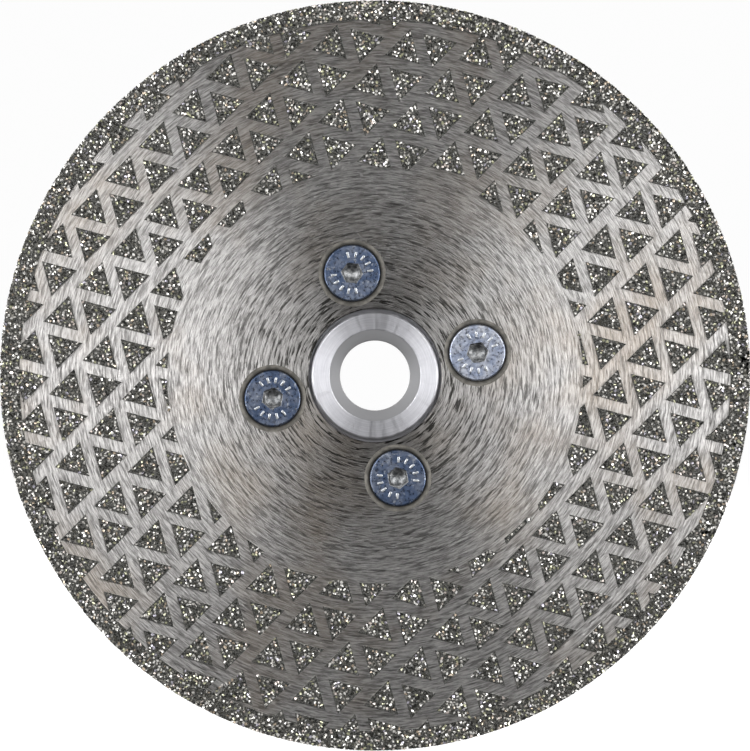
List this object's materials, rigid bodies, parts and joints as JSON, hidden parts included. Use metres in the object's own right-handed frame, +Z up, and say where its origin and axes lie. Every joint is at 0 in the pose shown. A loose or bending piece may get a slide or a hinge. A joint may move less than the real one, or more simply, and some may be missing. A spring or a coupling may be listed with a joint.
{
  "type": "diamond grinding wheel",
  "caption": "Flat steel grinding disc with triangular diamond grit tiles on both faces, screwed to a threaded spindle flange.",
  "frame": {"origin": "on the spindle axis, in the plane where the disc's back face seats on the flange", "axes": "+Y along the spindle thread, from the front face to the machine; the wheel spins about Y and faces -Y; +Z up, +X right as seen from the front"},
  "size_m": [0.125, 0.0152, 0.125],
  "materials": {
    "disc_steel": "bare steel, ground in circles round the axis",
    "diamond_grit": "diamond grains electroplated in nickel, rough",
    "flange_aluminium": "turned aluminium",
    "screw_zinc": "zinc plated and blue passivated"
  },
  "bodies": {
    "flange": {"flange": "flange_aluminium"},
    "disc": {"core_disc": "disc_steel", "rim_grit": "diamond_grit", "front_grit_tiles": "diamond_grit", "back_grit_tiles": "diamond_grit"},
    "screw_right": {"screw_right": "screw_zinc"},
    "screw_top": {"screw_top": "screw_zinc"},
    "screw_left": {"screw_left": "screw_zinc"},
    "screw_bottom": {"screw_bottom": "screw_zinc"}
  },
  "joints": [
    {"name": "disc_lift", "type": "slide", "parent": "flange", "child": "disc", "axis": [0, -1, 0], "range_m": [0, 0.005]},
    {"name": "screw_right_out", "type": "slide", "parent": "disc", "child": "screw_right", "axis": [0, -1, 0], "range_m": [0, 0.009]},
    {"name": "screw_top_out", "type": "slide", "parent": "disc", "child": "screw_top", "axis": [0, -1, 0], "range_m": [0, 0.009]},
    {"name": "screw_left_out", "type": "slide", "parent": "disc", "child": "screw_left", "axis": [0, -1, 0], "range_m": [0, 0.009]},
    {"name": "screw_bottom_out", "type": "slide", "parent": "disc", "child": "screw_bottom", "axis": [0, -1, 0], "range_m": [0, 0.009]}
  ]
}
